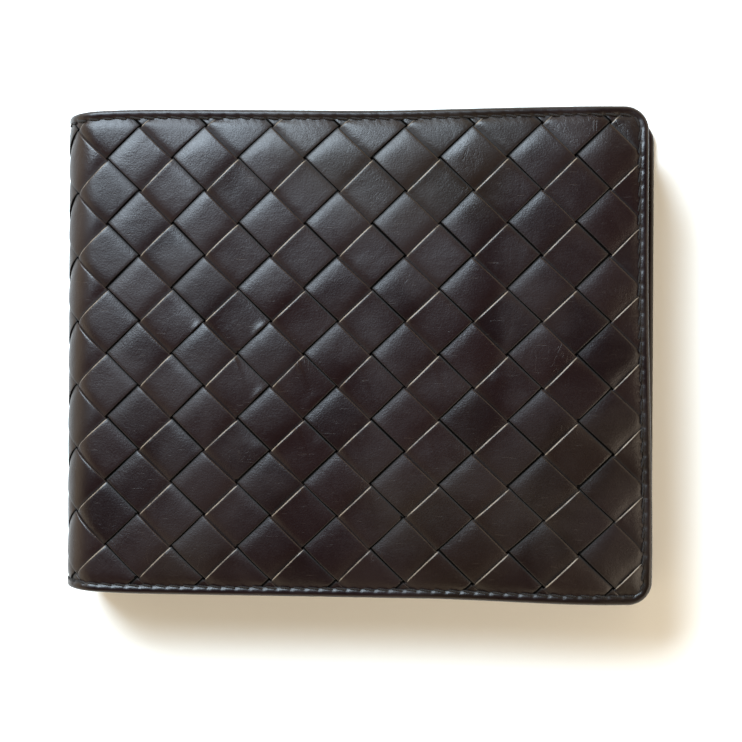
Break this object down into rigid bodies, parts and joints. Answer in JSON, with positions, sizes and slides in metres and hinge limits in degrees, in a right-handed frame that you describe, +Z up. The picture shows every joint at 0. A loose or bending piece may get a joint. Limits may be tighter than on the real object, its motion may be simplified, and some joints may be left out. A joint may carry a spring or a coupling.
{
  "type": "folding wallet",
  "caption": "Dark brown folding wallet with a cover of interlaced leather strips, a stitched border, a note compartment and card pockets.",
  "frame": {"origin": "on the table under the middle of the closed wallet", "axes": "+X from the spine to the free edge, +Y to the open side of the note compartment, +Z up through the stack of leaves"},
  "size_m": [0.116, 0.095, 0.0192],
  "materials": {
    "woven_leather": "semi-gloss smooth strips",
    "edge_leather": "semi-gloss",
    "backing_leather": "matt",
    "inner_leather": "satin",
    "pocket_leather": "satin",
    "hinge_leather": "satin",
    "lining_cloth": "fine twill",
    "thread": "waxed thread",
    "clear_film": "clear gloss"
  },
  "bodies": {
    "back_leaf": {"back_woven_panel": "woven_leather", "back_edge_binding": "edge_leather", "back_cover_backing": "backing_leather", "back_cover_lining": "lining_cloth", "back_note_divider": "inner_leather", "back_card_pocket_1": "pocket_leather", "back_card_pocket_2": "pocket_leather", "back_card_pocket_3": "pocket_leather", "back_side_band": "inner_leather", "back_bottom_band": "inner_leather", "back_spine_band": "inner_leather", "back_cover_stitching": "thread", "back_pocket_stitching": "thread"},
    "spine": {"spine_weave": "woven_leather", "spine_backing": "backing_leather", "spine_lining": "lining_cloth", "spine_inner_strip": "inner_leather", "spine_binding_top": "edge_leather", "spine_binding_bottom": "edge_leather", "spine_stitching": "thread"},
    "front_leaf": {"front_woven_panel": "woven_leather", "front_edge_binding": "edge_leather", "front_cover_backing": "backing_leather", "front_cover_lining": "lining_cloth", "front_note_divider": "inner_leather", "front_card_pocket_1": "pocket_leather", "front_card_pocket_2": "pocket_leather", "front_card_pocket_3": "pocket_leather", "front_side_band": "inner_leather", "front_bottom_band": "inner_leather", "front_spine_band": "inner_leather", "front_cover_stitching": "thread", "front_pocket_stitching": "thread"},
    "middle_leaf": {"middle_core": "inner_leather", "middle_window_frame": "pocket_leather", "middle_clear_window": "clear_film", "middle_card_pocket_1": "pocket_leather", "middle_card_pocket_2": "pocket_leather", "middle_side_band": "inner_leather", "middle_bottom_band": "inner_leather", "middle_spine_band": "inner_leather", "middle_stitching": "thread", "middle_hinge_tab": "hinge_leather"}
  },
  "joints": [
    {"name": "spine_fold_lower", "type": "hinge", "parent": "back_leaf", "child": "spine", "pos_m": [-0.05587, 0, 0.00213], "axis": [0, -1, 0], "range_deg": [0, 90], "deforming": ["spine_weave", "spine_backing", "spine_lining", "spine_inner_strip", "spine_binding_top", "spine_binding_bottom", "spine_stitching"]},
    {"name": "spine_fold_upper", "type": "hinge", "parent": "spine", "child": "front_leaf", "pos_m": [-0.05587, 0, 0.01707], "axis": [0, -1, 0], "range_deg": [0, 90], "deforming": ["spine_weave", "spine_backing", "spine_lining", "spine_inner_strip", "spine_binding_top", "spine_binding_bottom", "spine_stitching"]},
    {"name": "middle_leaf_fold", "type": "hinge", "parent": "back_leaf", "child": "middle_leaf", "pos_m": [-0.0477, 0, 0.0091], "axis": [0, -1, 0], "range_deg": [0, 90], "deforming": ["middle_hinge_tab"]}
  ],
  "couplings": [
    {"joint": "spine_fold_upper", "follows": "spine_fold_lower", "ratio": 1},
    {"joint": "middle_leaf_fold", "follows": "spine_fold_lower", "ratio": 1}
  ]
}
